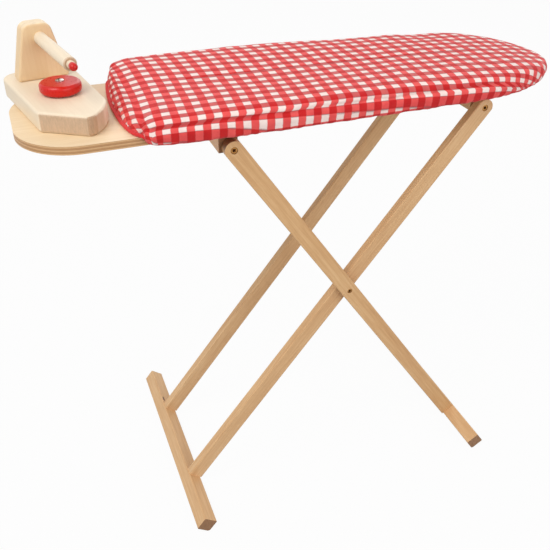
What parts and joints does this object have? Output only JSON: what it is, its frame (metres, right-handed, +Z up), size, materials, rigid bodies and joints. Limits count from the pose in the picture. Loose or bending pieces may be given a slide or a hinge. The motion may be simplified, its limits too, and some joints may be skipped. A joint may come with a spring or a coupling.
{
  "type": "toy iron and ironing board",
  "caption": "Folding wooden toy ironing board with a padded red and white checked cover, and a wooden toy iron standing on its bare plywood rest.",
  "frame": {"origin": "on the floor, below the middle of the board's whole outline", "axes": "+X along the board from the iron rest to its tip, -Y towards the near side, +Z up"},
  "size_m": [0.735, 0.351, 0.6986],
  "materials": {
    "plywood": "satin varnish on birch plywood",
    "stand_wood": "satin varnish on beech",
    "iron_wood": "satin varnish on pale wood",
    "red_paint": "gloss red paint on wood",
    "checked_cloth": "woven cotton, red and white checks",
    "red_binding": "woven cotton tape",
    "foam": "soft foam",
    "screw_steel": "zinc plated"
  },
  "bodies": {
    "board": {"panel": "plywood", "padding": "foam", "cover": "checked_cloth", "cover_binding": "red_binding", "hinge_batten": "stand_wood", "batten_screws": "screw_steel", "catch_rail": "stand_wood", "rail_screws": "screw_steel", "outer_pivot_screw_near": "screw_steel", "outer_pivot_screw_far": "screw_steel", "outer_washer_near": "screw_steel", "outer_washer_far": "screw_steel"},
    "outer_frame": {"outer_leg_near": "stand_wood", "outer_leg_far": "stand_wood", "outer_foot_bar": "stand_wood", "outer_foot_screws": "screw_steel"},
    "inner_frame": {"inner_leg_near": "stand_wood", "inner_leg_far": "stand_wood", "inner_foot_bar": "stand_wood", "inner_foot_screws": "screw_steel", "inner_crossbar": "stand_wood", "crossbar_screw_near": "screw_steel", "crossbar_screw_far": "screw_steel", "crossing_screw_near": "screw_steel", "crossing_screw_far": "screw_steel", "crossing_washer_near": "screw_steel", "crossing_washer_far": "screw_steel"},
    "iron": {"iron_sole": "iron_wood", "iron_heel_plate": "iron_wood", "iron_handle": "iron_wood", "handle_peg": "iron_wood", "peg_tip": "red_paint", "heel_screws": "screw_steel", "handle_screw": "screw_steel", "knob_washer": "screw_steel", "knob_screw": "screw_steel"},
    "knob": {"iron_knob": "red_paint"}
  },
  "joints": [
    {"name": "fold", "type": "hinge", "parent": "board", "child": "outer_frame", "pos_m": [-0.1285, 0, 0.5775], "axis": [0, -1, 0], "range_deg": [0, 53]},
    {"name": "crossing", "type": "hinge", "parent": "outer_frame", "child": "inner_frame", "pos_m": [0.04031, 0, 0.3328], "axis": [0, -1, 0], "range_deg": [-103, 0]},
    {"name": "iron_lift", "type": "slide", "parent": "board", "child": "iron", "axis": [0, 0, 1], "range_m": [0, 0.15]},
    {"name": "knob_turn", "type": "hinge", "parent": "iron", "child": "knob", "pos_m": [-0.30469, 0.01155, 0.6396], "axis": [0, 0, 1], "continuous": true}
  ],
  "couplings": [
    {"joint": "crossing", "follows": "fold", "ratio": -1.9404}
  ]
}
